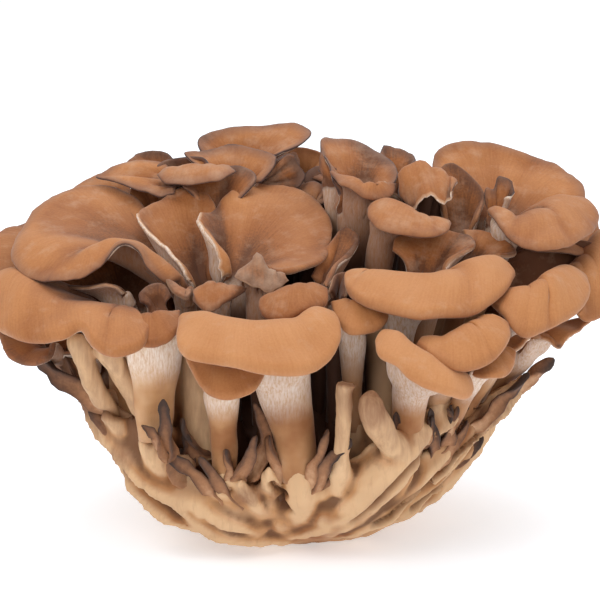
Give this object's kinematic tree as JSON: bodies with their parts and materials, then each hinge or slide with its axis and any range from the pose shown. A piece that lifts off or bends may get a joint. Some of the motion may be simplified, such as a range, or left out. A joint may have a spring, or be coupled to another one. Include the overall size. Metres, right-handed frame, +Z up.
{
  "type": "maitake mushroom",
  "caption": "Whole maitake mushroom cluster: a bowl-shaped branching base with overlapping brown spoon-shaped caps, cut flat underneath so that it stands.",
  "frame": {"origin": "middle of the flat cut face under the base, which the cluster rests on", "axes": "+Z up, -Y to the front of the cluster, +X to its right, along its longest extent"},
  "size_m": [0.2489, 0.1999, 0.1463],
  "materials": {
    "mushroom_flesh": "matte"
  },
  "bodies": {
    "root": {"maitake_cluster": "mushroom_flesh"}
  },
  "joints": []
}
